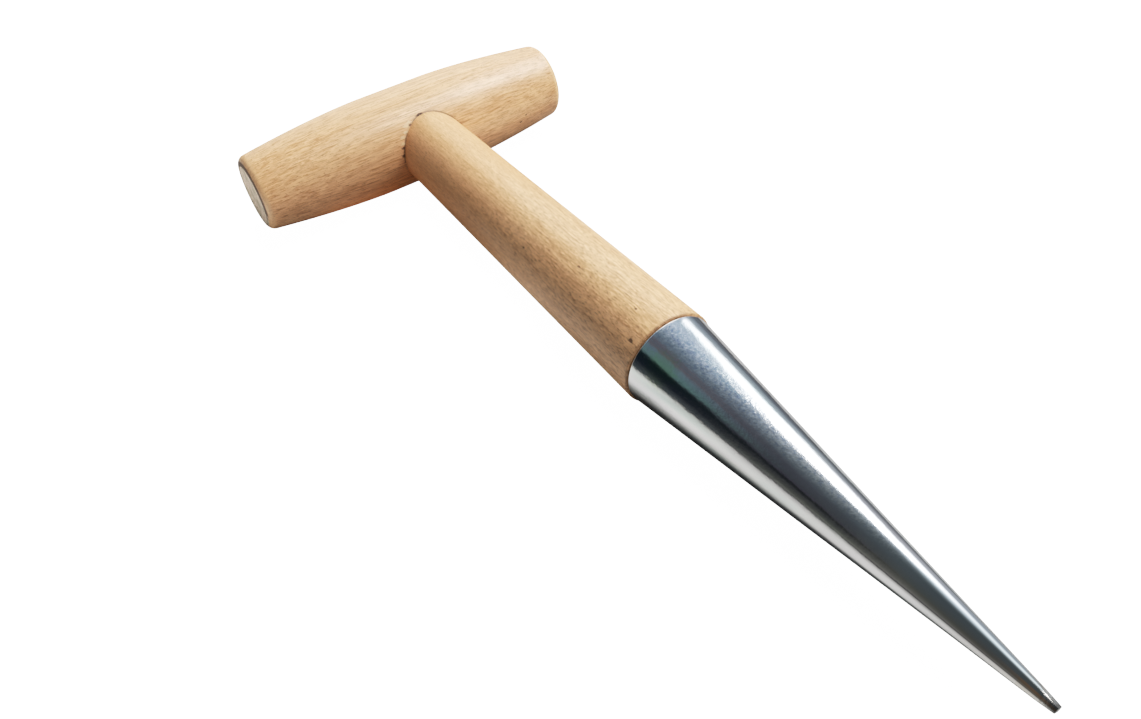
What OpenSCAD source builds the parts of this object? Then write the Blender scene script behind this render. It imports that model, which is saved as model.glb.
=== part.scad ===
// A hand dibber: a turned cross handle, a turned stem and a rolled steel cone on its nose.
// It lies on its side on the ground: +X along the cross handle, -Y toward the point, +Z up.
// The origin is on the ground, below the middle of the tool's outer box.
// Each piece is drawn on the tool's own axes first. "Along" is a distance down the stem,
// measured from the cross handle's axis toward the point.

/* [Cross handle] */
// Length of the cross handle
handle_len = 115; // [90:1:150]
// Diameter at the middle of the barrel
handle_mid_d = 33.4; // [31:0.2:42]
// Diameter at each end, before the end is rounded over
handle_end_d = 25.4; // [20:0.2:30]
// Length of the barrel's straight middle, where the stem goes in
belly_straight = 24; // [8:1:40]
// Fullness of the barrel's curve past the straight middle: more makes it fall later
belly_power = 1.6; // [1.3:0.1:2.6]
// Radius of the roundover at each end
handle_round = 2.8; // [1:0.2:5]
// Depth of the blind socket that holds the stem
socket_depth = 20; // [14:0.5:26]
// How far the socket sits from the middle of the handle
stem_offset = 3.5; // [-6:0.5:6]

/* [Stem] */
// Length of the whole tool, from the back of the handle to the point
tool_len = 280; // [240:1:340]
// Diameter of the stem where it enters the handle
stem_root_d = 24; // [20:0.5:26]
// Diameter at the shoulder above the cone
shoulder_d = 28; // [25:0.5:32]
// Distance along, from the handle's axis to the shoulder
shoulder_at = 146.5; // [120:1:165]
// Rounding of the shoulder's edge
shoulder_round = 0.6; // [0.2:0.1:1.2]
// Chamfer on the hidden end of the tenon and of the nose
end_chamfer = 1; // [0.4:0.1:2]
// Length of the tapered nose inside the cone
nose_len = 60; // [30:1:70]

/* [Steel cone] */
// Thickness of the steel sheet
sheet_t = 1; // [0.6:0.1:1.2]
// How far the wooden shoulder stands proud of the cone
cone_step = 0.45; // [0.2:0.05:1.2]
// Rounding of the cone's rim
rim_round = 0.4; // [0.1:0.1:0.5]
// Width of the groove left along the rolled seam
seam_w = 0.5; // [0.3:0.1:1]
// Depth of the seam's groove
seam_depth = 0.2; // [0.1:0.05:0.4]
// Angle of the seam round the cone, from +X toward the top
seam_angle = -50; // [-180:5:180]

/* [Ground point] */
// Diameter of the blunt end
tip_d = 2.2; // [1.8:0.1:3.2]
// Length of the solid point that shows
point_len = 8; // [6:0.5:12]
// Length of the point's root inside the cone
root_len = 6; // [3:0.5:10]
// Number of flats ground round the point
flat_count = 2; // [1:1:4]
// Length of each flat
flat_len = 7; // [3:0.5:10]
// Depth of each flat at the very end
flat_depth = 0.4; // [0.1:0.05:0.6]
// Angle of the first flat round the stem, from +X toward the top
flat_angle = 55; // [-180:5:180]

/* [Nails] */
// Diameter of the cone nail's shank
nail_d = 1.6; // [1.2:0.1:2.4]
// Length of the cone nail's shank
nail_len = 10; // [6:0.5:11]
// Diameter of the cone nail's domed head
nail_head_d = 3.4; // [3:0.1:5]
// Height of the cone nail's head
nail_head_t = 0.7; // [0.4:0.1:1]
// Distance of the cone nail from the rim
nail_from_rim = 12; // [8:1:25]
// Angle of the cone nail round the cone, from +X toward the top
nail_angle = -75; // [-180:5:180]
// Diameter of the handle brad's shank
brad_d = 1.4; // [1:0.1:2]
// Length of the handle brad's shank
brad_len = 18; // [12:1:22]
// Diameter of the handle brad's head
brad_head_d = 2.2; // [2.1:0.1:3]
// Height of the handle brad's head
brad_head_t = 0.6; // [0.3:0.1:1]
// Distance along, from the handle's axis to the brad
brad_at = 6; // [3:0.5:9]
// How deep the brad's head is sunk below the wood
brad_sink = 0.5; // [0.2:0.1:1.5]

/* [Fits] */
// Gap for glue round the tenon
glue_gap = 0.1; // [0.05:0.05:0.3]
// Gap below the end of the tenon
socket_gap = 0.5; // [0.2:0.1:1]
// Gap between the nose and the inside of the cone
nose_gap = 0.15; // [0.05:0.05:0.4]
// Gap between the shoulder and the cone's rim
rim_gap = 0.25; // [0.1:0.05:0.5]
// Gap round the point's root inside the cone
root_gap = 0.05; // [0.02:0.01:0.15]
// Gap round a nail in its hole
nail_gap = 0.05; // [0.02:0.01:0.15]

/* [Hidden] */
$fn = 96;
arc_steps = 8;
belly_steps = 11;
past = 1;
beech = [0.86, 0.70, 0.50];
beech_stem = [0.84, 0.68, 0.49];
zinc = [0.63, 0.67, 0.71];
bare_steel = [0.48, 0.49, 0.50];
nail_steel = [0.55, 0.56, 0.57];

// Cross handle: the belly is a shallow curve that falls from the straight middle to each end
handle_half = handle_len / 2;
handle_mid_r = handle_mid_d / 2;
handle_end_r = handle_end_d / 2;
belly_drop = handle_mid_r - handle_end_r;
curve_from = belly_straight / 2;
curve_len = handle_half - curve_from;
end_slope = atan(belly_power * belly_drop / curve_len);
belly_half = handle_half - handle_round * (1 - sin(end_slope));
function barrel_r(x) =
    handle_mid_r - belly_drop * pow(max(abs(x) - curve_from, 0) / curve_len, belly_power);

// Stem: a parallel tenon, a straight taper out to the shoulder, and a nose that fits the cone
root_r = stem_root_d / 2;
shoulder_r = shoulder_d / 2;
socket_floor = handle_mid_r - socket_depth;
tenon_end = socket_floor + socket_gap;
stem_slope = atan((shoulder_r - root_r) / (shoulder_at - handle_mid_r));
nose_end = shoulder_at + nose_len;

// Cone: one straight taper from the rim to the blunt end, which the point carries on
tip_r = tip_d / 2;
tip_at = tool_len - handle_mid_r;
rim_at = shoulder_at + rim_gap;
rim_r = shoulder_r - cone_step;
cone_slope = atan((rim_r - tip_r) / (tip_at - rim_at));
sheet_across = sheet_t / cos(cone_slope);
neck_at = tip_at - point_len;
function cone_r(along) = rim_r - (along - rim_at) * tan(cone_slope);
function inside_r(along) = cone_r(along) - sheet_across;
function nose_r(along) = inside_r(along) - nose_gap;
function plug_r(along) = inside_r(along) - root_gap;

// Nails
nail_at = rim_at + nail_from_rim;
brad_seat = sqrt(pow(barrel_r(stem_offset), 2) - pow(brad_at, 2)) - brad_sink - brad_head_t;

// At rest the handle's belly and the shoulder's edge both touch the ground
shoulder_edge = shoulder_at - shoulder_round;
rest_tilt = asin(handle_mid_r / norm([shoulder_edge, shoulder_r])) - atan(shoulder_r / shoulder_edge);
front_reach = tip_at * cos(rest_tilt) + tip_r * sin(rest_tilt);
middle_y = (front_reach - handle_mid_r) / 2;

function arc(x, y, r, from, to) =
    [for (i = [0 : arc_steps]) let (a = from + (to - from) * i / arc_steps) [x + r * cos(a), y + r * sin(a)]];

module laid_down() {
    translate([0, middle_y, handle_mid_r]) rotate([rest_tilt, 0, 0]) children();
}

// Turns a piece that stands on +Z so that it runs down the stem
module on_stem() {
    translate([stem_offset, 0, 0]) rotate([90, 0, 0]) children();
}

module barrel() {
    end_x = belly_half - handle_round * sin(end_slope);
    end_y = barrel_r(belly_half) - handle_round * cos(end_slope);
    step = (belly_half - curve_from) / belly_steps;
    far_belly = [for (i = [0 : belly_steps]) let (x = curve_from + step * i) [barrel_r(x), x]];
    near_belly = [for (i = [belly_steps : -1 : 0]) let (x = curve_from + step * i) [barrel_r(x), -x]];
    far_end = [for (p = arc(end_x, end_y, handle_round, 90 - end_slope, 0)) [p.y, p.x]];
    near_end = [for (p = arc(end_x, end_y, handle_round, 0, 90 - end_slope)) [p.y, -p.x]];
    rotate([0, 90, 0]) rotate_extrude()
        polygon(concat([[0, -handle_half]], near_end, near_belly, far_belly, far_end, [[0, handle_half]]));
}

// The brad's own axis: it goes up into the handle from below, across the tenon
module at_brad() {
    translate([stem_offset, -brad_at, -brad_seat]) rotate([180, 0, 0]) children();
}

// The nail's own axis: it is square to the cone's surface
module at_cone_nail() {
    on_stem() rotate([0, 0, nail_angle]) translate([cone_r(nail_at), 0, nail_at])
        rotate([0, 90 - cone_slope, 0]) children();
}

// A nail points down -Z, and the underside of its domed head is at z = 0
module nail(shank_d, length, head_d, head_t) {
    dome_r = (pow(head_d / 2, 2) + pow(head_t, 2)) / (2 * head_t);
    dome_edge = asin((dome_r - head_t) / dome_r);
    rotate_extrude() polygon(concat(
        [[0, -length], [shank_d / 2, shank_d - length], [shank_d / 2, 0]],
        arc(0, head_t - dome_r, dome_r, dome_edge, 90)));
}

module nail_hole(shank_d, length) {
    translate([0, 0, -length - nail_gap])
        cylinder(h = length + nail_gap + past, d = shank_d + 2 * nail_gap);
}

module cross_handle() {
    color(beech) laid_down() difference() {
        barrel();
        on_stem() translate([0, 0, socket_floor])
            cylinder(h = socket_depth + past, r = root_r + glue_gap);
        at_brad() {
            nail_hole(brad_d, brad_len);
            cylinder(h = brad_head_t + brad_sink + past, d = brad_head_d + 2 * nail_gap);
        }
    }
}

module stem() {
    edge_x = shoulder_r - shoulder_round * (1 + sin(stem_slope)) / cos(stem_slope);
    profile = concat(
        [[0, tenon_end], [root_r - end_chamfer, tenon_end], [root_r, tenon_end + end_chamfer]],
        [[root_r, handle_mid_r]],
        arc(edge_x, shoulder_edge, shoulder_round, -stem_slope, 90),
        [[nose_r(shoulder_at), shoulder_at], [nose_r(nose_end - end_chamfer), nose_end - end_chamfer]],
        [[nose_r(nose_end) - end_chamfer, nose_end], [0, nose_end]]);
    color(beech_stem) laid_down() difference() {
        on_stem() rotate_extrude() polygon(profile);
        at_brad() nail_hole(brad_d, brad_len);
        at_cone_nail() nail_hole(nail_d, nail_len);
    }
}

module steel_cone() {
    edge_x = rim_r - rim_round * (1 + sin(cone_slope)) / cos(cone_slope);
    profile = concat(
        [[inside_r(rim_at), rim_at]],
        arc(edge_x, rim_at + rim_round, rim_round, -90, cone_slope),
        [[cone_r(neck_at), neck_at], [inside_r(neck_at), neck_at]]);
    color(zinc) laid_down() difference() {
        on_stem() rotate_extrude() polygon(profile);
        on_stem() rotate([0, 0, seam_angle]) translate([rim_r, 0, rim_at]) rotate([0, -cone_slope, 0])
            translate([-seam_depth, -seam_w / 2, -past]) cube([seam_depth + past, seam_w, tool_len]);
        at_cone_nail() nail_hole(nail_d, nail_len);
    }
}

module ground_point() {
    flat_start = tip_at - flat_len;
    flat_end_r = tip_r - flat_depth;
    flat_slope = atan((cone_r(flat_start) - flat_end_r) / flat_len);
    root_at = neck_at - root_len;
    profile = [[0, root_at], [plug_r(root_at), root_at], [plug_r(neck_at), neck_at],
        [cone_r(neck_at), neck_at], [tip_r, tip_at], [0, tip_at]];
    color(bare_steel) laid_down() on_stem() difference() {
        rotate_extrude() polygon(profile);
        for (i = [0 : flat_count - 1])
            rotate([0, 0, flat_angle + i * 360 / flat_count]) translate([flat_end_r, 0, tip_at])
                rotate([0, -flat_slope, 0]) translate([0, -tip_d, -2 * flat_len])
                    cube([tip_d, 2 * tip_d, 3 * flat_len]);
    }
}

module cone_nail() {
    color(nail_steel) laid_down() at_cone_nail() nail(nail_d, nail_len, nail_head_d, nail_head_t);
}

module handle_brad() {
    color(nail_steel) laid_down() at_brad() nail(brad_d, brad_len, brad_head_d, brad_head_t);
}

cross_handle();
stem();
steel_cone();
ground_point();
cone_nail();
handle_brad();
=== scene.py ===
"""The look of a hand dibber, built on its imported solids: turned beech and a rolled, zinc-plated cone."""

import math

import bmesh
import bpy
from mathutils import Euler, Matrix, Vector, noise


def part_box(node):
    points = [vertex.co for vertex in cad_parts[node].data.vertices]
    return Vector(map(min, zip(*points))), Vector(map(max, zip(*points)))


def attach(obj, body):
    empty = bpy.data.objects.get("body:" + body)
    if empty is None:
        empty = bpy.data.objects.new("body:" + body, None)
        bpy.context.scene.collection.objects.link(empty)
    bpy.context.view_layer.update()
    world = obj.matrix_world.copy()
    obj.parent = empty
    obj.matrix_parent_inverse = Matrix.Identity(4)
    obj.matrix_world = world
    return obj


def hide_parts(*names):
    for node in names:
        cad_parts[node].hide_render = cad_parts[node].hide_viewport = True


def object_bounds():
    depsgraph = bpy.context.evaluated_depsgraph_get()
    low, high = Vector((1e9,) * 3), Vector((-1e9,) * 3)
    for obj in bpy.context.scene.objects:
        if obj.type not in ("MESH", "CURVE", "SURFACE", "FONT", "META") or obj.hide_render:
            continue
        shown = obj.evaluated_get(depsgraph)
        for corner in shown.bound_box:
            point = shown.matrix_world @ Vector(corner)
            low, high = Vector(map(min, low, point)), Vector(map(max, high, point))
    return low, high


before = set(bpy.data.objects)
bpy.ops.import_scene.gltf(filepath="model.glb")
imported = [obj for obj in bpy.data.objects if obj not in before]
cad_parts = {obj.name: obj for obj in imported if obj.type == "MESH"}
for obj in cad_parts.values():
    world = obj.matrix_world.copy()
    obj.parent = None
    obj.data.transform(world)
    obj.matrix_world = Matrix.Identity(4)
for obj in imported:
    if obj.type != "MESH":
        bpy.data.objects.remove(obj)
cad_low, cad_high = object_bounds()

# Sizes are in millimetres on the tool's own axes. MM turns them into the frame's metres
MM = 0.001
FULL_TURN = 2 * math.pi

handle_low, handle_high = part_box("cross_handle")
stem_low, stem_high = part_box("stem")
HANDLE_HALF = (handle_high.x - handle_low.x) / 2 / MM
BELLY_R = (handle_high.z - handle_low.z) / 2 / MM
STEM_OFFSET = (stem_high.x + stem_low.x) / 2 / MM
SHOULDER_R = (stem_high.x - stem_low.x) / 2 / MM

FULL_LENGTH = 280.0

# The cross handle: its barrel, its ends and the socket in its side
END_R = 12.7
END_ROUND = 2.8
STRAIGHT_HALF = 12.0
BELLY_POWER = 1.6
SOCKET_DEPTH = 20.0
SOCKET_GAP = 0.1

# Chips torn out of the socket's mouth: angle round the stem and width, in degrees, and depth
MOUTH_CHIPS = [
    (99, 4, 0.45),
    (122, 4, 0.45),
    (144, 3, 0.35),
    (157, 4, 0.5),
    (168, 4, 0.55),
    (187, 6, 0.5),
    (-60, 9, 0.3),
]

# The stem, from its tenon to the nose in the cone
ROOT_R = 12.0
SHOULDER_AT = 146.5
SHOULDER_ROUND = 0.6
NOSE_LEN = 60.0
NOSE_GAP = 0.15
TENON_END = BELLY_R - SOCKET_DEPTH + 0.5
END_CHAMFER = 1.0

# The cone of rolled sheet, from its rim to the neck, where the point starts
SHEET = 1.0
RIM_AT = SHOULDER_AT + 0.25
RIM_R = SHOULDER_R - 0.45
RIM_ROUND = 0.4
TIP_R = 1.1
POINT_LEN = 8.0
TIP_AT = FULL_LENGTH - BELLY_R
NECK_AT = TIP_AT - POINT_LEN
ROOT_LEN = 6.0
CONE_FALL = (RIM_R - TIP_R) / (TIP_AT - RIM_AT)
CONE_SLOPE = math.atan(CONE_FALL)
SHEET_ACROSS = SHEET / math.cos(CONE_SLOPE)
SEAM_ANGLE = math.radians(-50)
SEAM_DEPTH = 0.2
SEAM_HALF = 0.2

# The point's fit in the cone and its two flats
ROOT_GAP = 0.05
FLAT_LEN = 7.0
FLAT_DEPTH = 0.4
FLAT_ANGLES = (55, 235)

# The tool lies on the handle's belly and the shoulder's edge
SHOULDER_EDGE = SHOULDER_AT - SHOULDER_ROUND
EDGE_FALL = math.atan(SHOULDER_R / SHOULDER_EDGE)
REST_TILT = math.asin(BELLY_R / math.hypot(SHOULDER_EDGE, SHOULDER_R)) - EDGE_FALL

# Faces round each turned piece, and the distances within which points are one and the same
WOOD_STEPS = 144
CONE_STEPS = 168
POINT_STEPS = 96
SAME_POINT = 0.0004
ON_PLANE = 0.0005

# Places of the tool's own axes in the frame: the cross handle's, with +Z along it, and the stem's
tool_place = Matrix.Translation((handle_low + handle_high) / 2) @ Matrix.Rotation(REST_TILT, 4, "X")
handle_place = tool_place @ Matrix.Rotation(math.radians(90), 4, "Y")
stem_start = tool_place @ Matrix.Translation((STEM_OFFSET * MM, 0, 0))
stem_place = stem_start @ Matrix.Rotation(math.radians(90), 4, "X")


def barrel_r(x):
    """The handle's radius at x from its middle."""
    past = max(abs(x) - STRAIGHT_HALF, 0) / (HANDLE_HALF - STRAIGHT_HALF)
    return BELLY_R - (BELLY_R - END_R) * past**BELLY_POWER


def cone_r(along):
    """The cone's outside radius at a distance along the stem."""
    return RIM_R - (along - RIM_AT) * CONE_FALL


def inside_r(along):
    """The inside radius of the cone's sheet there."""
    return cone_r(along) - SHEET_ACROSS


def arc(x, y, r, start, end, steps):
    """Points on an arc from one angle to another, in radians."""
    return [(x + r * math.cos(a), y + r * math.sin(a)) for a in even(start, end, steps)]


def even(start, end, steps):
    """Numbers spaced evenly from one to another, with both ends."""
    return [start + (end - start) * i / steps for i in range(steps + 1)]


# Mesh work

def turned(outline, steps, closed=False):
    """A solid turned round +Z from (radius, height) points. A closed outline makes a ring or a tube."""
    bm = bmesh.new()
    line = [bm.verts.new((r, 0, z)) for r, z in outline]
    pairs = list(zip(line, line[1:]))
    if closed:
        pairs.append((line[-1], line[0]))
    edges = [bm.edges.new(pair) for pair in pairs]
    bmesh.ops.spin(
        bm,
        geom=line + edges,
        cent=(0, 0, 0),
        axis=(0, 0, 1),
        angle=FULL_TURN,
        steps=steps,
        use_merge=True,
    )
    bmesh.ops.remove_doubles(bm, verts=bm.verts, dist=SAME_POINT)
    bmesh.ops.recalc_face_normals(bm, faces=bm.faces)
    return bm


def piece_from(bm, name, place, finish, sharp=35):
    """Puts a mesh drawn in millimetres at its place in the frame, smooth but for its sharp edges."""
    bm.transform(place @ Matrix.Scale(MM, 4))
    bmesh.ops.recalc_face_normals(bm, faces=bm.faces)
    mesh = bpy.data.meshes.new(name)
    bm.to_mesh(mesh)
    bm.free()
    mesh.shade_smooth()
    mesh.set_sharp_from_angle(angle=math.radians(sharp))
    piece = bpy.data.objects.new(name, mesh)
    bpy.context.scene.collection.objects.link(piece)
    piece.data.materials.append(finish)
    return piece


def stand_for(piece, node):
    """The piece takes a solid's place on the tool: the solid is hidden and the piece joins the tool's body.
    """
    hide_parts(node)
    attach(piece, "root")


def cut(piece, cutter):
    """Takes the cutter's solid out of the piece, and removes the cutter."""
    hole = piece.modifiers.new("hole", "BOOLEAN")
    hole.operation = "DIFFERENCE"
    hole.solver = "EXACT"
    hole.object = cutter
    shaped = piece.evaluated_get(bpy.context.evaluated_depsgraph_get())
    mesh = bpy.data.meshes.new_from_object(shaped)
    piece.modifiers.clear()
    piece.data = mesh
    bpy.data.objects.remove(cutter)


# Shader work

class Wire:
    """A number's socket in a material. Arithmetic on it adds the Math nodes."""

    def __init__(self, finish, socket):
        self.finish = finish
        self.socket = socket

    def maths(self, operation, *values):
        settings = {"operation": operation}
        return self.finish.add("Math", settings, dict(enumerate(values)))

    def __add__(self, other):
        return self.maths("ADD", self, other)

    def __radd__(self, other):
        return self.maths("ADD", other, self)

    def __sub__(self, other):
        return self.maths("SUBTRACT", self, other)

    def __rsub__(self, other):
        return self.maths("SUBTRACT", other, self)

    def __mul__(self, other):
        return self.maths("MULTIPLY", self, other)

    def __truediv__(self, other):
        return self.maths("DIVIDE", self, other)

    def __pow__(self, other):
        return self.maths("POWER", self, other)

    def __abs__(self):
        return self.maths("ABSOLUTE", self)

    def at_least(self, limit):
        return self.maths("MAXIMUM", self, limit)

    def at_most(self, limit):
        return self.maths("MINIMUM", self, limit)

    def angle_over(self, base):
        """The angle of the point (base, this), in radians from -pi to pi."""
        return self.maths("ARCTAN2", self, base)


class Finish:
    """A node tree under construction, for a material or for the surroundings."""

    def __init__(self, owner):
        owner.use_nodes = True
        self.owner = owner
        self.tree = owner.node_tree
        self.tree.nodes.clear()

    def add(self, kind, settings, values, output=0):
        """Adds a node: its settings first, then the value or wire of each socket. Returns one output."""
        node = self.tree.nodes.new("ShaderNode" + kind)
        for name, value in settings.items():
            if name == "stops":
                self.set_stops(node.color_ramp, value)
            else:
                setattr(node, name, value)
        for name, value in values.items():
            if isinstance(value, Wire):
                self.tree.links.new(value.socket, node.inputs[name])
            else:
                node.inputs[name].default_value = value
        return Wire(self, node.outputs[output]) if node.outputs else None

    def set_stops(self, ramp, stops):
        for index, (position, colour) in enumerate(stops):
            stop = ramp.elements[index] if index < 2 else ramp.elements.new(position)
            stop.position = position
            stop.color = (*colour, 1)

    def in_millimetres(self):
        """Object coordinates on the frame's axes, in millimetres."""
        here = self.add("TexCoord", {}, {}, "Object")
        return self.stretched(here, 1 / MM, 1 / MM, 1 / MM)

    def local(self, place):
        """Object coordinates on a piece's own axes, in millimetres."""
        here = self.add("TexCoord", {}, {}, "Object")
        turn = place.to_euler("XYZ")
        values = {"Vector": here, "Location": place.translation, "Rotation": turn, "Scale": (MM, MM, MM)}
        return self.add("Mapping", {"vector_type": "TEXTURE"}, values)

    def stretched(self, spot, x, y, z):
        """A place with each of its parts multiplied."""
        return self.add("VectorMath", {"operation": "MULTIPLY"}, {0: spot, 1: (x, y, z)})

    def part(self, spot, axis):
        """One part of a place: X, Y or Z."""
        return self.add("SeparateXYZ", {}, {0: spot}, axis)

    def radius(self, spot):
        """Distance from the piece's own axis."""
        flat = self.stretched(spot, 1, 1, 0)
        return self.add("VectorMath", {"operation": "LENGTH"}, {0: flat}, "Value")

    def distance(self, spot, centre):
        """Distance from a point."""
        return self.add("VectorMath", {"operation": "DISTANCE"}, {0: spot, 1: centre}, "Value")

    def cloud(self, spot, detail=2, roughness=0.5, distortion=0):
        """Soft noise from 0 to 1, at one cell for each unit of the place."""
        values = {"Vector": spot, "Scale": 1, "Detail": detail}
        values.update({"Roughness": roughness, "Distortion": distortion})
        return self.add("TexNoise", {}, values, "Fac")

    def ease(self, value, start, end, low=0, high=1):
        """Rises smoothly from low to high as the value goes from start to end."""
        settings = {"interpolation_type": "SMOOTHSTEP"}
        values = {"Value": value, "From Min": start, "From Max": end, "To Min": low, "To Max": high}
        return self.add("MapRange", settings, values)

    def tint(self, share, first, second):
        """A colour that goes from the first to the second as the share goes from 0 to 1."""
        settings = {"data_type": "RGBA"}
        ends = {6: first, 7: second}
        ends = {key: (*value, 1) if isinstance(value, tuple) else value for key, value in ends.items()}
        return self.add("Mix", settings, {0: share, **ends}, 2)

    def bump(self, height, depth):
        """Relief from a height of 0 to 1, with that depth in millimetres."""
        return self.add("Bump", {}, {"Strength": 1, "Distance": depth * MM, "Height": height})

    def for_camera(self):
        """1 for what the camera sees straight on, and 0 for light and reflections."""
        return self.add("LightPath", {}, {}, "Is Camera Ray")

    def surface(self, values):
        shade = self.add("BsdfPrincipled", {}, values)
        self.add("OutputMaterial", {}, {"Surface": shade})
        return self.owner


def new_finish(name):
    return Finish(bpy.data.materials.new(name))


def pits(finish, spot, places):
    """Ragged marks in the wood at these places, each with its radius, and longer along the grain."""
    ragged = finish.cloud(finish.stretched(spot, 2.6, 2.6, 1.3), 2, 0.6)
    squash = 0.55
    squat = finish.stretched(spot, 1, 1, squash)
    marks = 0
    for (x, y, z), size in places:
        away = finish.distance(squat, (x, y, z * squash)) + (ragged - 0.5) * size * 1.6
        marks = finish.ease(away, size, size * 0.45) + marks
    return marks


def beech(name, place, tones, grain, short, satin, pith, end_grain, joint, holes, chips=()):
    """Turned beech with a satin varnish. Its grain runs along the place's +Z.

    The tones go from pale to brown. grain is how strong the marks are, near and far along
    the piece, and short how short. satin is the varnish's roughness, pith is the middle of the
    yearly rings, and joint gives the dirt and painted shade where the other piece meets this one.
    """
    wood = new_finish(name)
    spot = wood.local(place)
    along = wood.part(spot, "Z")
    grain = wood.ease(along, 20, 115, *grain)

    # Yearly rings round a pith that lies outside the piece, so that they show as long streaks
    sway = wood.cloud(wood.stretched(spot, 0.03, 0.03, 0.012), 2) * 5
    rings = wood.distance(wood.stretched(spot, 1, 1, 0.02), pith) + sway
    season = rings.maths("FRACT", rings / 2.3)
    late = wood.ease(season, 0.25, 0.86) - wood.ease(season, 0.88, 1.0)

    fibre = wood.cloud(wood.stretched(spot, 2.4, 2.4, 0.045), 4, 0.62)
    strand = wood.cloud(wood.stretched(spot, 0.75, 0.75, 0.016), 3, 0.55)
    dashes = wood.cloud(wood.stretched(spot, 1.7, 1.7, 0.24 * short), 2, 0.6)
    rays = wood.cloud(wood.stretched(spot, 2.9, 2.9, 0.6 * short), 2, 0.55)
    pores = wood.ease(wood.cloud(wood.stretched(spot, 3.4, 3.4, 0.8), 2, 0.6), 0.57, 0.7)
    figure = wood.cloud(wood.stretched(spot, 0.09, 0.09, 0.02), 3, 0.5)

    pale, tan, ruddy, brown = tones
    light = tuple(min(1, c * 1.16) for c in pale)
    colour = wood.tint(wood.ease(figure, 0.35, 0.68), pale, tan)
    colour = wood.tint(late * wood.ease(strand, 0.3, 0.7) * grain * 0.22, colour, ruddy)
    colour = wood.tint(wood.ease(fibre, 0.48, 0.76) * grain * 0.5, colour, ruddy)
    colour = wood.tint(wood.ease(dashes, 0.52, 0.74) * grain * 0.4, colour, ruddy)
    colour = wood.tint(wood.ease(dashes, 0.48, 0.28) * grain * 0.4, colour, light)
    colour = wood.tint(wood.ease(rays, 0.56, 0.72) * grain * 0.27, colour, brown)
    colour = wood.tint(wood.ease(rays, 0.44, 0.3) * grain * 0.4, colour, light)
    colour = wood.tint(pores * grain * 0.24, colour, brown)

    # End grain: rings and open pores on the sawn faces, and a burnished line round each. A piece
    # that shows no end is a little deeper in colour near its start
    wear = 0
    sawn = 0
    if end_grain:
        reach = abs(along)
        out = wood.radius(spot)
        sawn = wood.ease(reach, HANDLE_HALF - 0.22, HANDLE_HALF - 0.08)
        dots = wood.cloud(wood.stretched(spot, 3.2, 3.2, 0.2), 2, 0.6)
        stain = wood.cloud(wood.stretched(spot, 0.22, 0.22, 0.1), 2, 0.5)
        face = wood.tint(wood.ease(dots, 0.42, 0.68), (0.97, 0.82, 0.69), (0.6, 0.46, 0.35))
        face = wood.tint(late * 0.3, face, (0.5, 0.38, 0.25))
        face = wood.tint(wood.ease(stain, 0.42, 0.62) * 0.7, face, (0.4, 0.37, 0.25))
        sanded = wood.ease(reach, HANDLE_HALF - 2.8, HANDLE_HALF - 1.2)
        colour = wood.tint(sanded * 0.4, colour, (1.0, 0.7, 0.42))
        colour = wood.tint(sawn, colour, face)
        patchy = wood.cloud(wood.stretched(spot, 0.35, 0.35, 0.35), 3, 0.6)
        line = wood.ease(reach, HANDLE_HALF - 0.5, HANDLE_HALF - 0.2) * wood.ease(out, 9.85, 9.98)
        upper = wood.ease(wood.part(spot, "X"), 7, -2)
        wear = line * wood.ease(patchy + upper * 0.4, 0.45, 0.75)
        colour = wood.tint(wear * 0.95, colour, (0.09, 0.04, 0.012))
    else:
        deeper = wood.ease(along, 90, 50)
        colour = wood.tint(deeper * 0.3, colour, (0.76, 0.36, 0.142))
    # Dirt, and painted shade in the gap and groove, where the other piece meets this one
    colour = wood.tint(joint(wood), colour, (0.17, 0.085, 0.035))
    torn = pits(wood, spot, chips)
    colour = wood.tint(torn * 0.45, colour, (0.95, 0.75, 0.5))
    dents = pits(wood, spot, holes)
    colour = wood.tint(dents * 0.8, colour, (0.09, 0.045, 0.02))

    sheen = wood.cloud(wood.stretched(spot, 0.4, 0.4, 0.15), 3, 0.6)
    rough = 0.43 + sheen * 0.08 + pores * 0.12 + wear * 0.1
    height = fibre * 0.3 + dashes * 0.7 + rays * 0.4 - pores * 0.5 - dents * 2.5
    coat = 0.9 - pores * 0.3 - dents * 0.7 - sawn * 0.75 - wear * 0.6
    values = {
        "Base Color": colour,
        "Roughness": rough,
        "Coat Weight": coat,
        "Coat Roughness": satin,
        "Normal": wood.bump(height, 0.02),
    }
    return wood.surface(values)


def socket_dirt_and_shade(wood):
    """Glue and dirt on the cross handle, close round the stem, and painted shade: a dark line along the gap
    at the socket's mouth, fainter at two places round it.
    """
    beside = wood.local(stem_place)
    away = wood.radius(beside)
    front = wood.ease(wood.part(beside, "Z"), 2, 6)
    angle = wood.part(beside, "Y").angle_over(wood.part(beside, "X"))
    tight = wood.ease(angle, 1.95, 2.1) * wood.ease(angle, 2.5, 2.3) + wood.ease(angle, 0.8, 0.5)
    patchy = wood.cloud(wood.stretched(beside, 0.5, 0.5, 0.5), 3, 0.6)
    near = wood.ease(away, ROOT_R + 0.9, ROOT_R + 0.12) * wood.ease(patchy, 0.38, 0.62)
    # Painted shade: the dark line in the gap between the socket and the stem
    edge = wood.ease(away, ROOT_R + 0.42, ROOT_R + 0.16)
    return (near * 0.45).at_least(edge * (0.75 - tight * 0.55)) * front


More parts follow.
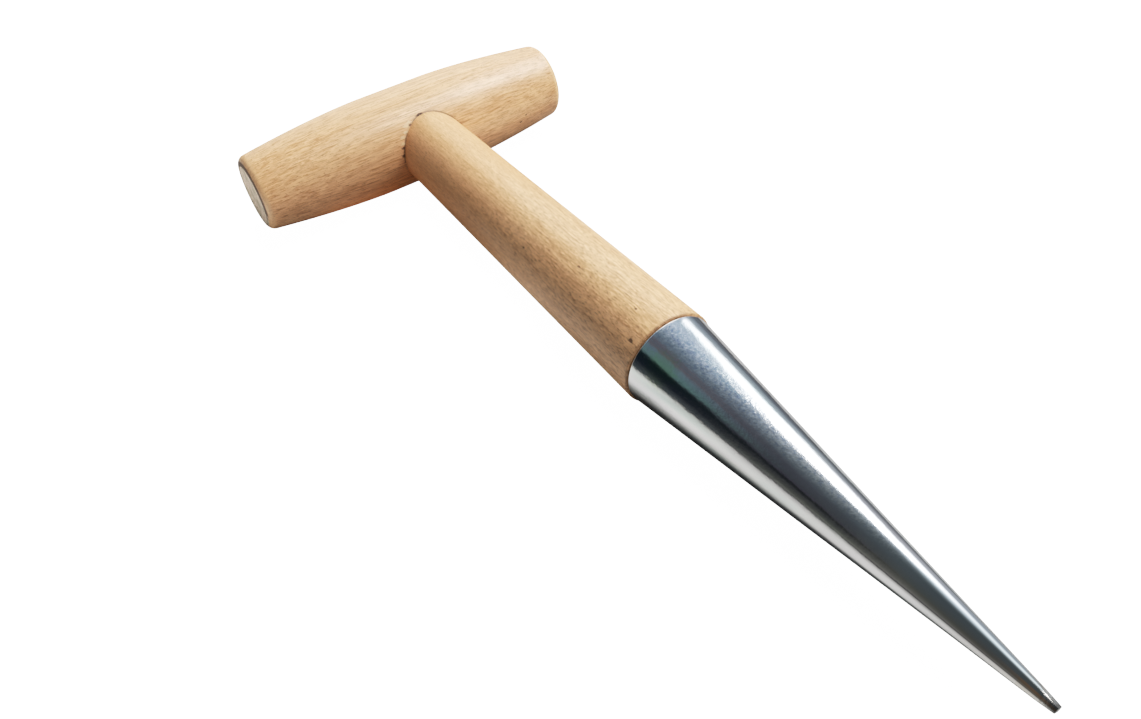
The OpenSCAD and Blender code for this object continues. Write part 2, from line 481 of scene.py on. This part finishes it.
def root_dirt_and_shade(wood):
    """Glue and dirt on the stem, close to the cross handle, and a dark line of painted shade in the groove
    at the shoulder's edge.
    """
    spot = wood.local(stem_place)
    beside = wood.local(handle_place)
    away = wood.radius(beside)
    patchy = wood.cloud(wood.stretched(spot, 0.5, 0.5, 0.5), 3, 0.6)
    near = wood.ease(away, BELLY_R + 0.7, BELLY_R + 0.05) * wood.ease(patchy, 0.35, 0.62)
    along = wood.part(spot, "Z")
    # Painted shade: a dark line in the groove between the shoulder and the cone's rim
    rim = wood.ease(along, SHOULDER_AT - 0.75, SHOULDER_AT - 0.1) * wood.ease(patchy, 0.2, 0.6)
    return (near * 0.5).at_least(rim * 0.55)


def zinc_plate():
    """Bright zinc on rolled sheet: an orange-peel mottle, draw lines and a faint colour from the bath."""
    metal = new_finish("zinc_plate")
    spot = metal.local(stem_place)
    along = metal.part(spot, "Z")

    # The plate is frosted along one side, toward the rim, and smoother all round
    angle = metal.part(spot, "Y").angle_over(metal.part(spot, "X"))
    frosted = metal.ease(angle, 1.42, 1.65) * metal.ease(angle, 2.1, 1.8) * metal.ease(along, 236, 190)
    peel = metal.cloud(metal.stretched(spot, 1.25, 1.25, 0.8), 3, 0.6)
    grit = metal.cloud(metal.stretched(spot, 3.4, 3.4, 2.4), 2, 0.6)
    rolled = metal.cloud(metal.stretched(spot, 0.2, 0.2, 0.07), 2, 0.5)
    patch = metal.cloud(metal.stretched(spot, 0.16, 0.16, 0.05), 3, 0.55)
    bath = metal.cloud(metal.stretched(spot, 0.2, 0.2, 0.012), 2, 0.5)
    specks = metal.ease(metal.cloud(metal.stretched(spot, 2.1, 2.1, 1.6), 2, 0.5), 0.7, 0.78)

    colour = metal.tint(metal.ease(patch, 0.35, 0.65), (0.74, 0.77, 0.8), (0.82, 0.84, 0.86))
    colour = metal.tint(metal.ease(bath, 0.5, 0.66) * 0.3, colour, (0.6, 0.78, 0.76))
    colour = metal.tint(metal.ease(bath, 0.5, 0.36) * 0.22, colour, (0.78, 0.7, 0.8))
    colour = metal.tint(metal.ease(grit, 0.55, 0.75) * 0.18, colour, (0.5, 0.55, 0.62))
    frost = metal.cloud(metal.stretched(spot, 1.3, 1.3, 1.1), 3, 0.65)
    colour = metal.tint(metal.ease(frost, 0.5, 0.34) * frosted * 0.8, colour, (0.48, 0.55, 0.67))
    colour = metal.tint(metal.ease(frost, 0.5, 0.64) * frosted * 0.9, colour, (1.0, 1.0, 1.0))
    stain = metal.ease(metal.distance(spot, (-8.8, 8.8, 155)) + (frost - 0.5) * 7, 6, 2.5)
    colour = metal.tint(stain * 0.6, colour, (0.66, 0.82, 0.58))
    colour = metal.tint(specks * 0.35, colour, (0.3, 0.31, 0.33))
    worn = metal.ease(along, NECK_AT - 30, NECK_AT + 4)
    colour = metal.tint(worn * 0.3, colour, (0.6, 0.54, 0.48))
    rim = metal.ease(along, RIM_AT + 0.6, RIM_AT + 0.2)
    colour = metal.tint(rim * 0.8, colour, (0.95, 0.93, 0.92))

    # The relief fades out toward the point, where the plate is bright
    fine = metal.ease(along, 246, 205)
    mottle = 0.02 + peel * 0.04 + grit * 0.04 + specks * 0.15
    rough = 0.055 + mottle * fine + frosted * 0.065 + rim * 0.3
    height = peel * (fine * 0.6 + 0.03 + frosted * 0.7)
    height = height + grit * (fine * 0.08 + 0.01 + frosted * 0.3)
    height = height + rolled * (fine * 2.3 + 0.3)
    values = {
        "Base Color": colour,
        "Metallic": 1.0,
        "Roughness": rough,
        "Normal": metal.bump(height, 0.035),
    }
    return metal.surface(values)


def ground_steel():
    """Bare steel with the marks of a grinding wheel across it."""
    metal = new_finish("ground_steel")
    spot = metal.local(stem_place)
    marks = metal.cloud(metal.stretched(spot, 0.8, 1.3, 2.4), 3, 0.6, 0.3)
    blotch = metal.cloud(metal.stretched(spot, 0.7, 0.7, 0.5), 3, 0.6)
    along = metal.part(spot, "Z")
    end = metal.ease(along, TIP_AT - 2.6, TIP_AT - 0.1)
    bare = metal.ease(along, NECK_AT + 3.2, NECK_AT + 6)
    ground = metal.tint(metal.ease(marks, 0.35, 0.65), (0.44, 0.43, 0.42), (0.72, 0.73, 0.74))
    colour = metal.tint(bare, (0.72, 0.7, 0.68), ground)
    colour = metal.tint(metal.ease(blotch, 0.5, 0.72) * bare * 0.3, colour, (0.3, 0.28, 0.27))
    colour = metal.tint(end * 0.8, colour, (0.15, 0.15, 0.15))
    values = {
        "Base Color": colour,
        "Metallic": 1.0,
        "Roughness": 0.06 + bare * (0.16 + marks * 0.1),
        "Normal": metal.bump(marks * bare, 0.003),
    }
    return metal.surface(values)


def nail_steel():
    """Drawn wire, dulled, with hammer marks on the head."""
    metal = new_finish("nail_steel")
    spot = metal.in_millimetres()
    dull = metal.cloud(metal.stretched(spot, 1.4, 1.4, 1.4), 3, 0.6)
    struck = metal.cloud(metal.stretched(spot, 0.7, 0.7, 0.7), 1, 0.5)
    colour = metal.tint(metal.ease(dull, 0.35, 0.68), (0.42, 0.42, 0.43), (0.62, 0.63, 0.64))
    colour = metal.tint(metal.ease(dull, 0.62, 0.8) * 0.5, colour, (0.27, 0.19, 0.14))
    values = {
        "Base Color": colour,
        "Metallic": 1.0,
        "Roughness": 0.3 + dull * 0.25,
        "Normal": metal.bump(struck * 0.8 + dull * 0.2, 0.12),
    }
    return metal.surface(values)


# Pieces

HANDLE_TONES = ((0.85, 0.51, 0.283), (0.803, 0.454, 0.24), (0.55, 0.265, 0.11), (0.31, 0.135, 0.055))
STEM_TONES = ((0.82, 0.5, 0.27), (0.76, 0.44, 0.222), (0.56, 0.3, 0.14), (0.33, 0.17, 0.08))


def socket_cutter():
    """The bored hole for the stem, with a few chips torn out of its mouth."""

    def gap(angle):
        torn = 0
        for middle, width, depth in MOUTH_CHIPS:
            off = (math.degrees(angle) - middle + 180) % 360 - 180
            torn = max(torn, depth * math.exp(-((off / width) ** 2)))
        return ROOT_R + SOCKET_GAP + torn

    levels = [BELLY_R - SOCKET_DEPTH, BELLY_R + 4]
    bm = turned([(0, levels[0]), (ROOT_R, levels[0]), (ROOT_R, levels[1]), (0, levels[1])], WOOD_STEPS)
    for vert in bm.verts:
        if vert.co.xy.length > 1:
            angle = math.atan2(vert.co.y, vert.co.x)
            vert.co.xy = vert.co.xy.normalized() * gap(angle)
    return bm


def cross_handle():
    """The barrel, with its sawn ends rounded over and the stem's socket bored in its side."""
    slope = math.atan(BELLY_POWER * (BELLY_R - END_R) / (HANDLE_HALF - STRAIGHT_HALF))
    belly_half = HANDLE_HALF - END_ROUND * (1 - math.sin(slope))
    end_x = belly_half - END_ROUND * math.sin(slope)
    end_y = barrel_r(belly_half) - END_ROUND * math.cos(slope)
    corner = arc(end_x, end_y, END_ROUND, math.radians(90) - slope, 0, 10)
    far = [(0, HANDLE_HALF)] + [(r, HANDLE_HALF) for r in even(2.5, corner[-1][1] - 0.6, 3)]
    far += [(y, x) for x, y in reversed(corner)]
    belly = [(barrel_r(x), x) for x in even(belly_half, -belly_half, 72)]
    near = [(r, -x) for r, x in reversed(far)]
    bm = turned(far + belly[1:-1] + near, WOOD_STEPS)
    wood = beech(
        name="beech_handle",
        place=handle_place,
        tones=HANDLE_TONES,
        grain=(2.4, 2.4),
        short=0.24,
        satin=0.43,
        pith=(-20, 26, 0),
        end_grain=True,
        joint=socket_dirt_and_shade,
        holes=HANDLE_PITS,
        chips=JOINT_CHIPS,
    )
    handle = piece_from(bm, "turned_cross_handle", handle_place, wood)
    cutter = piece_from(socket_cutter(), "socket_cutter", stem_place, wood)
    cut(handle, cutter)
    handle.data.set_sharp_from_angle(angle=math.radians(35))
    stand_for(handle, "cross_handle")


def stem():
    """The tenon, the straight taper to the shoulder, and the nose inside the cone."""
    slope = math.atan((SHOULDER_R - ROOT_R) / (SHOULDER_AT - BELLY_R))
    edge_r = SHOULDER_R - SHOULDER_ROUND * (1 + math.sin(slope)) / math.cos(slope)
    nose_r = inside_r(SHOULDER_AT) - NOSE_GAP
    nose_end = SHOULDER_AT + NOSE_LEN
    nose_end_r = inside_r(nose_end) - NOSE_GAP
    taper = [(r, z) for r, z in zip(even(ROOT_R, SHOULDER_R, 60), even(BELLY_R, SHOULDER_AT, 60))]
    corner = arc(edge_r, SHOULDER_EDGE, SHOULDER_ROUND, -slope, math.radians(90), 8)
    outline = [(0, TENON_END), (ROOT_R - END_CHAMFER, TENON_END), (ROOT_R, TENON_END + END_CHAMFER)]
    outline += taper[:-1] + corner
    outline += [(nose_r, SHOULDER_AT), (nose_end_r + 0.1, nose_end - END_CHAMFER)]
    outline += [(nose_end_r - END_CHAMFER, nose_end), (0, nose_end)]
    bm = turned(outline, WOOD_STEPS)
    wood = beech(
        name="beech_stem",
        place=stem_place,
        tones=STEM_TONES,
        grain=(2.1, 3.0),
        short=0.9,
        satin=0.6,
        pith=(31, -17, 0),
        end_grain=False,
        joint=root_dirt_and_shade,
        holes=STEM_PITS,
    )
    made = piece_from(bm, "turned_stem", stem_place, wood)
    stand_for(made, "stem")


def cone():
    """Rolled sheet: an outer and an inner wall, a rounded rim, a seam and the slight waves of the rolls."""
    edge_r = RIM_R - RIM_ROUND * (1 + math.sin(CONE_SLOPE)) / math.cos(CONE_SLOPE)
    rim = arc(edge_r, RIM_AT + RIM_ROUND, RIM_ROUND, math.radians(-90), CONE_SLOPE, 8)
    wall = [(cone_r(z), z) for z in even(rim[-1][1], NECK_AT, 90)]
    inner = [(inside_r(z), z) for z in even(NECK_AT, RIM_AT, 12)]
    bm = turned(rim + wall[1:] + inner, CONE_STEPS, closed=True)

    # Edges along both sides of the seam, so that its groove is narrow
    across = Vector((-math.sin(SEAM_ANGLE), math.cos(SEAM_ANGLE), 0))
    outward = Vector((math.cos(SEAM_ANGLE), math.sin(SEAM_ANGLE), 0))
    for side in (-0.25, -0.13, 0.13, 0.25):
        near = [f for f in bm.faces if f.calc_center_median().dot(outward) > 0]
        edges = list({e for f in near for e in f.edges})
        verts = list({v for f in near for v in f.verts})
        geom = near + edges + verts
        bmesh.ops.bisect_plane(bm, geom=geom, plane_co=across * side, plane_no=across, dist=ON_PLANE)

    # The outer wall only, with no wave at its rim and neck
    for vert in bm.verts:
        out = vert.co.xy.length
        along = vert.co.z
        if out < inside_r(along) + SHEET_ACROSS * 0.5 or along < RIM_AT + 0.3:
            continue
        angle = math.atan2(vert.co.y, vert.co.x)
        calm = min(1, (NECK_AT - along) / 12) * min(1, (along - RIM_AT) / 4)
        wave = noise.noise(Vector((math.cos(angle) * 1.5, math.sin(angle) * 1.5, along / 38)))
        ripple = noise.noise(Vector((math.cos(angle) * 3.4, math.sin(angle) * 3.4, along / 16 + 7)))
        push = (0.045 * wave + 0.012 * ripple - 0.03) * calm
        seam = abs(vert.co.dot(across))
        if vert.co.dot(outward) > 0 and seam < SEAM_HALF:
            push -= SEAM_DEPTH
        vert.co.xy *= (out + push) / out
    made = piece_from(bm, "rolled_cone", stem_place, zinc_plate(), 30)
    stand_for(made, "steel_cone")


def ground_point():
    """The solid point: its root in the cone, and two flats ground toward a blunt end."""
    root_at = NECK_AT - ROOT_LEN
    shown = [(cone_r(z), z) for z in even(NECK_AT, TIP_AT, 12)]
    outline = [(0, root_at), (inside_r(root_at) - ROOT_GAP, root_at)]
    outline += [(inside_r(NECK_AT) - ROOT_GAP, NECK_AT)] + shown + [(0, TIP_AT)]
    bm = turned(outline, POINT_STEPS)
    end_r = TIP_R - FLAT_DEPTH
    slope = math.atan((cone_r(TIP_AT - FLAT_LEN) - end_r) / FLAT_LEN)
    for turn in FLAT_ANGLES:
        a = math.radians(turn)
        facing = Vector((math.cos(a) * math.cos(slope), math.sin(a) * math.cos(slope), math.sin(slope)))
        on = Vector((math.cos(a) * end_r, math.sin(a) * end_r, TIP_AT))
        geom = bm.verts[:] + bm.edges[:] + bm.faces[:]
        sliced = bmesh.ops.bisect_plane(
            bm,
            geom=geom,
            plane_co=on,
            plane_no=facing,
            dist=ON_PLANE,
            clear_outer=True,
        )
        edges = [e for e in sliced["geom_cut"] if isinstance(e, bmesh.types.BMEdge)]
        bmesh.ops.holes_fill(bm, edges=edges, sides=0)
    made = piece_from(bm, "ground_point_shaped", stem_place, ground_steel(), 20)
    stand_for(made, "ground_point")


# Marks on the wood: (across, up, along) on the piece's own axes, and the radius

def on_stem_skin(along, angle, size):
    """The angle goes round the stem from +X toward the top."""
    r = ROOT_R + (SHOULDER_R - ROOT_R) * (along - BELLY_R) / (SHOULDER_AT - BELLY_R)
    a = math.radians(angle)
    return (r * math.cos(a), r * math.sin(a), along), size


def on_handle_skin(x, angle, size):
    """The angle goes round the handle from its top toward the point."""
    a = math.radians(angle)
    r = barrel_r(x)
    place = Vector((x, -r * math.sin(a), r * math.cos(a)))
    turn = Matrix.Rotation(math.radians(-90), 3, "Y")
    return tuple(turn @ place), size


def on_joint(angle, out, size):
    """On the handle's skin beside the stem: the angle goes round the stem, and out is from its side."""
    a = math.radians(angle)
    x = (ROOT_R + out) * math.cos(a)
    up = (ROOT_R + out) * math.sin(a)
    along = math.sqrt(barrel_r(x + STEM_OFFSET) ** 2 - up**2)
    place = handle_place.inverted() @ stem_place @ (Vector((x, up, along)) * MM)
    return tuple(place / MM), size


STEM_PITS = [
    on_stem_skin(143.5, 133.8, 0.62),
    on_stem_skin(137.6, 105.1, 0.38),
    on_stem_skin(113.5, 111.9, 0.42),
    on_stem_skin(92.0, 140.0, 0.34),
    on_stem_skin(66.0, 20.0, 0.4),
    on_stem_skin(121.0, -60.0, 0.5),
]
JOINT_CHIPS = [
    on_joint(119, 0.9, 0.6),
    on_joint(126, 1.2, 0.8),
    on_joint(134, 0.7, 0.6),
    on_joint(142, 1.1, 0.75),
    on_joint(150, 0.7, 0.6),
]
HANDLE_PITS = [
    on_joint(95, 0.2, 0.42),
    on_joint(98.5, 0.26, 0.55),
    on_joint(102, 0.28, 0.5),
    on_joint(121, 0.25, 0.45),
    on_joint(156, 0.4, 0.55),
    on_joint(168, 0.4, 0.6),
    on_handle_skin(38.5, 105.7, 0.4),
    on_handle_skin(40.8, 97.9, 0.34),
    on_handle_skin(-24.0, -70.0, 0.45),
    on_handle_skin(20.0, 165.0, 0.4),
]

cross_handle()
stem()
cone()
ground_point()
wire_steel = nail_steel()
for node in ("cone_nail", "handle_brad"):
    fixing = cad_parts[node]
    fixing.data.materials.clear()
    fixing.data.materials.append(wire_steel)


# Studio: a pale sheet of paper on a glowing table, soft lights at the right, and dark board at the left

BURNT_WHITE = (2.7, 2.7, 2.7)


def studio_floor():
    """The sheet of paper and its glow."""
    # Half sizes in metres. It lies a hair below the ground, clear of the tool
    bm = bmesh.new()
    bmesh.ops.create_grid(bm, x_segments=8, y_segments=8, size=1.0)
    bmesh.ops.scale(bm, verts=bm.verts, vec=(0.175, 0.6, 1))
    bmesh.ops.translate(bm, verts=bm.verts, vec=(-0.055, 0, -0.00005))
    mesh = bpy.data.meshes.new("studio_floor")
    bm.to_mesh(mesh)
    bm.free()
    floor = bpy.data.objects.new("studio_floor", mesh)
    bpy.context.scene.collection.objects.link(floor)

    # The table glows from below, less so close to the tool: a painted shadow of the tool in the glow.
    # Straight to the camera it burns out white, but for a faint painted shadow close to the tool
    paper = new_finish("floor_paper")
    spot = paper.in_millimetres()
    x = paper.part(spot, "X")
    y = paper.part(spot, "Y")
    handle_y = (handle_low.y + handle_high.y) / 2 / MM
    tip_y = cad_low.y / MM
    # Painted shadow: the glow fades out close to the stem and the cone, over a strip that is narrow at the
    # point
    past_tip = (tip_y - y).at_least(0)
    past_handle = (y - handle_y).at_least(0)
    from_axis = ((x - STEM_OFFSET) ** 2 + past_tip**2 + past_handle**2) ** 0.5
    side = {"Value": y, "From Min": tip_y, "From Max": tip_y + 117, "To Min": 2.0, "To Max": 14.0}
    width = paper.add("MapRange", {}, side) * paper.ease(y, 0, 40, 1, 0.7)
    beside_stem = paper.ease(from_axis / width, 0.95, 2.25)
    past_end = (abs(x) - HANDLE_HALF).at_least(0)
    from_handle = ((y - handle_y) ** 2 + (past_end * 2.5) ** 2) ** 0.5
    # near marks the faint painted shadow that the camera sees close to the tool
    near = paper.ease(from_axis - width, 0, 9) * paper.ease(from_handle, 8, 22)

    # It dims slowly to the far left. By the handle it is painted dim and reddish: painted shade with a
    # painted warm bounce from the wood
    lit = paper.ease(x + y * 0.6, -201, -42)
    right_edge = paper.ease(x + (y + 50).at_most(0) * 0.35, 92, 66)
    corner = paper.ease(y, 34, 70) * paper.ease(x, 10, -10) * paper.ease(x, -76, -58)
    beyond = paper.ease(x, -64, -80) * paper.ease(abs(y - handle_y), 60, 20)
    from_painted_warm_shade = ((x + 24) ** 2 + (y - handle_y + 16) ** 2) ** 0.5
    right = paper.tint(paper.ease(y, 15, 50), (0.28, 0.28, 0.275), (1.4, 1.34, 1.22))
    beside_cone = paper.ease(y, -105, -75) * paper.ease(y, -30, -50)
    left = paper.tint(beside_cone, (0.69, 0.68, 0.635), (0.62, 0.605, 0.56))
    left = paper.tint(paper.ease(from_axis, 30, 60), left, (0.53, 0.52, 0.475))
    left = paper.tint(paper.ease(y, -14, 6), left, (0.74, 0.7, 0.64))
    glow = paper.tint(paper.ease(x, -12, 20), left, right)
    # Painted shade: the glow is nearly dark and warm in the corner by the handle
    glow = paper.tint(corner * 0.92, glow, (0.1, 0.045, 0.018))
    glow = paper.tint(beyond, glow, (1.45, 1.38, 1.28))
    # Painted shadow of the tool: no glow close to the stem, the cone and the handle
    clear_of_painted_shadow = beside_stem * paper.ease(from_handle, 15, 52) * lit * right_edge
    glow = paper.tint(clear_of_painted_shadow, (0.0, 0.0, 0.0), glow)
    # A painted warm bounce: a dim red-brown glow in front of the handle, left of the stem
    glow = paper.tint(paper.ease(from_painted_warm_shade, 26, 8), glow, (0.25, 0.1, 0.035))
    # The camera sees white, with a faint painted contact shadow close to the tool
    burnt = paper.tint(near, (2.35, 2.35, 2.35), BURNT_WHITE)
    values = {
        "Base Color": paper.tint(lit * right_edge, (0.02, 0.02, 0.02), (0.2, 0.197, 0.193)),
        "Roughness": 0.9,
        "Emission Color": paper.tint(paper.for_camera(), glow, burnt),
        "Emission Strength": 1.0,
    }
    floor.data.materials.append(paper.surface(values))


def studio_light():
    """What surrounds the tool: its colour goes by the direction, round the Y axis from +X over the top."""
    world = bpy.data.worlds.new("studio")
    bpy.context.scene.world = world
    sky = Finish(world)
    toward = sky.add("TexCoord", {}, {}, "Generated")
    x = sky.part(toward, "X")
    y = sky.part(toward, "Y")
    z = sky.part(toward, "Z")
    turn = z.at_least(0).angle_over(x) / math.pi

    # Three rings of colour, past the handle, over the tool and past the point, each from +X to -X
    behind = [
        (0.0, (0.17, 0.19, 0.21)),
        (0.015, (0.27, 0.31, 0.34)),
        (0.08, (0.42, 0.47, 0.51)),
        (0.3, (0.45, 0.54, 0.66)),
        (0.4, (0.3, 0.38, 0.5)),
        (0.46, (0.22, 0.28, 0.36)),
        (0.52, (0.17, 0.22, 0.27)),
        (0.595, (0.135, 0.165, 0.2)),
        (0.615, (0.14, 0.115, 0.135)),
        (0.64, (0.115, 0.14, 0.17)),
        (0.66, (0.15, 0.125, 0.14)),
        (0.7, (0.145, 0.195, 0.23)),
        (0.79, (0.13, 0.21, 0.205)),
        (0.825, (0.006, 0.014, 0.016)),
        (0.93, (0.009, 0.014, 0.022)),
        (1.0, (0.06, 0.07, 0.075)),
    ]
    above = [
        (0.0, (0.2, 0.21, 0.22)),
        (0.015, (0.28, 0.29, 0.3)),
        (0.08, (0.5, 0.51, 0.53)),
        (0.3, (0.5, 0.53, 0.56)),
        (0.4, (0.3, 0.33, 0.35)),
        (0.46, (0.215, 0.245, 0.26)),
        (0.53, (0.15, 0.17, 0.185)),
        (0.595, (0.1, 0.115, 0.13)),
        (0.66, (0.07, 0.075, 0.09)),
        (0.79, (0.056, 0.06, 0.07)),
        (0.825, (0.062, 0.058, 0.075)),
        (0.845, (0.015, 0.018, 0.02)),
        (0.87, (0.015, 0.018, 0.02)),
        (0.895, (0.05, 0.053, 0.055)),
        (0.92, (0.06, 0.063, 0.06)),
        (0.975, (0.1, 0.105, 0.09)),
        (1.0, (0.17, 0.175, 0.15)),
    ]
    before = [
        (0.0, (0.42, 0.45, 0.48)),
        (0.015, (0.53, 0.57, 0.6)),
        (0.07, (0.35, 0.39, 0.43)),
        (0.144, (0.46, 0.52, 0.57)),
        (0.2, (0.78, 0.9, 0.98)),
        (0.265, (1.35, 1.62, 1.76)),
        (0.33, (0.8, 0.92, 0.99)),
        (0.395, (0.27, 0.31, 0.33)),
        (0.44, (0.12, 0.145, 0.155)),
        (0.5, (0.075, 0.092, 0.1)),
        (0.6, (0.077, 0.092, 0.1)),
        (0.8, (0.08, 0.087, 0.085)),
        (0.87, (0.09, 0.09, 0.08)),
        (0.93, (0.12, 0.12, 0.105)),
        (1.0, (0.18, 0.175, 0.16)),
    ]
    ring_before = sky.add("ValToRGB", {"stops": before}, {0: turn}, "Color")
    ring_above = sky.add("ValToRGB", {"stops": above}, {0: turn}, "Color")
    ring_behind = sky.add("ValToRGB", {"stops": behind}, {0: turn}, "Color")
    colour = sky.tint(sky.ease(y, 0.05, 0.18), ring_before, ring_above)
    colour = sky.tint(sky.ease(y, 0.22, 0.36), colour, ring_behind)

    # Warm board low at the left, past both ends of the dark one
    ends = sky.ease(y, -0.02, -0.12) + sky.ease(y, 0.58, 0.7)
    low_left = sky.ease(turn, 0.66, 0.78)
    colour = sky.tint(ends * low_left, colour, (0.19, 0.118, 0.068))

    # One soft light is an upright box at the right that leans toward the handle
    lean = turn + (y.at_least(0.2) - 0.34) * 0.5 + (y - 0.36).at_least(0) * 0.3
    rise = turn - (0.24 - y).at_least(0) * 0.35
    tall = sky.ease(rise, 0.09, 0.205) * sky.ease(lean, 0.29, 0.19)
    wide = sky.ease(y, 0.0, 0.19) * sky.ease(y, 0.7, 0.5)
    colour = sky.tint(tall * wide, colour, (5.8, 6.1, 6.3))
    core_high = sky.ease(turn, 0.19, 0.25) * sky.ease(turn, 0.35, 0.29)
    core_wide = sky.ease(y, 0.08, 0.16) * sky.ease(y, 0.3, 0.22)
    colour = sky.tint(core_high * core_wide, colour, (15.0, 15.0, 15.0))

    # The main light is high, a little toward the point
    high = sky.ease(turn, 0.22, 0.28) * sky.ease(turn, 0.44, 0.35)
    fore = sky.ease(y, -0.115, -0.19) * sky.ease(y, -0.4, -0.24)
    colour = sky.tint(high * fore, colour, (37.0, 35.6, 33.5))

    # Beyond the handle: a warm light high at the right, a dim cool one high at the left, and a level one
    filling = sky.ease(turn, 0.16, 0.26) * sky.ease(turn, 0.52, 0.38)
    filling = filling * sky.ease(y, 0.48, 0.6) * sky.ease(y, 0.88, 0.74)
    colour = sky.tint(filling, colour, (4.3, 4.05, 3.65))
    cool = sky.ease(turn, 0.44, 0.54) * sky.ease(turn, 0.84, 0.72)
    cool = cool * sky.ease(y, 0.5, 0.6) * sky.ease(y, 0.9, 0.74)
    colour = sky.tint(cool, colour, (0.38, 0.6, 0.74))
    low_right = sky.ease(turn, 0.55, 0.38)
    colour = sky.tint(low_right * sky.ease(y, 0.84, 0.94), colour, (1.9, 1.7, 1.4))
    colour = sky.tint(sky.for_camera(), colour, BURNT_WHITE)
    shine = sky.add("Background", {}, {"Color": colour, "Strength": 1.0})
    sky.add("OutputWorld", {}, {"Surface": shine})


def film():
    """A film's answer to light: brightness in the scene, and what is shown of it."""
    view = bpy.context.scene.view_settings
    view.view_transform = "Standard"
    view.use_curve_mapping = True
    white = 2.5
    view.curve_mapping.white_level = (white, white, white)
    # Curve 3 is the one for all colours together
    line = view.curve_mapping.curves[3]
    answer = [
        (0.05, 0.04),
        (0.12, 0.104),
        (0.25, 0.24),
        (0.45, 0.45),
        (0.7, 0.635),
        (1.0, 0.77),
        (1.4, 0.88),
        (1.9, 0.96),
    ]
    for light, shown in answer:
        line.points.new(light / white, shown)
    view.curve_mapping.update()


def camera():
    """Its place, turn and lens are fitted to the tool's outline in the photograph."""
    lens = bpy.data.cameras.new("camera")
    lens.sensor_width = 36
    lens.lens = 30.2238
    lens.clip_start = 0.01
    lens.clip_end = 20
    made = bpy.data.objects.new("camera", lens)
    made.location = (-0.104446, -0.16738, 0.188727)
    made.rotation_euler = Euler([math.radians(a) for a in (46.0642, 5.0749, -33.5598)], "XYZ")
    bpy.context.scene.collection.objects.link(made)
    bpy.context.scene.camera = made


studio_floor()
studio_light()
camera()
film()
